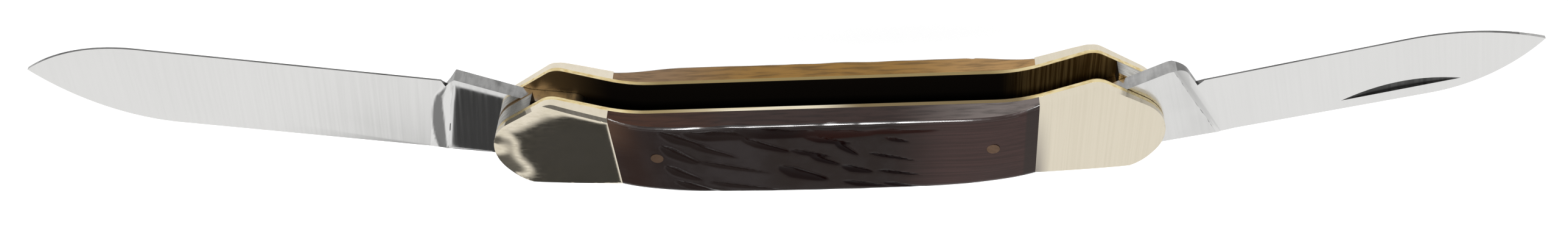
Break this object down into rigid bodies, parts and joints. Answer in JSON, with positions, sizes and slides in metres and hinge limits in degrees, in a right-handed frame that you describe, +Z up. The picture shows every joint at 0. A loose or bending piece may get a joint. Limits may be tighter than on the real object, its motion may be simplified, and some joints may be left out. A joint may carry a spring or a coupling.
{
  "type": "folding pocket knife",
  "caption": "Canoe-shaped folding pocket knife: a long main blade and a shorter pen blade fold from opposite ends into a brass-lined handle with bone covers and bolsters.",
  "frame": {"origin": "lowest point of the handle's back, midway between the handle's ends and between its two sides", "axes": "+X along the handle towards the pen blade's end, +Y from the front cover to the rear cover, +Z up out of the blade well"},
  "size_m": [0.2012, 0.012, 0.0264],
  "materials": {
    "blade_steel": "satin",
    "spring_steel": "satin",
    "liner_brass": "brushed",
    "nickel_silver": "polished",
    "bone": "polished, jigged",
    "pin_nickel_silver": "polished",
    "pin_brass": "dull"
  },
  "bodies": {
    "handle": {"main_spring": "spring_steel", "pen_spring": "spring_steel", "center_divider": "liner_brass", "front_liner": "liner_brass", "rear_liner": "liner_brass", "front_cover": "bone", "rear_cover": "bone", "main_pivot_pin": "pin_nickel_silver", "pen_pivot_pin": "pin_nickel_silver", "spring_pin": "pin_brass", "front_left_bolster": "nickel_silver", "front_right_bolster": "nickel_silver", "rear_left_bolster": "nickel_silver", "rear_right_bolster": "nickel_silver", "front_left_cover_pin": "pin_brass", "front_right_cover_pin": "pin_brass", "rear_left_cover_pin": "pin_brass", "rear_right_cover_pin": "pin_brass"},
    "main_blade": {"main_blade": "blade_steel"},
    "pen_blade": {"pen_blade": "blade_steel"}
  },
  "joints": [
    {"name": "main_hinge", "type": "hinge", "parent": "handle", "child": "main_blade", "pos_m": [-0.038, 0, 0.01], "axis": [0, 1, 0], "range_deg": [0, 170], "deforming": ["main_spring"]},
    {"name": "pen_hinge", "type": "hinge", "parent": "handle", "child": "pen_blade", "pos_m": [0.038, 0, 0.01], "axis": [0, -1, 0], "range_deg": [0, 168], "deforming": ["pen_spring"]}
  ]
}
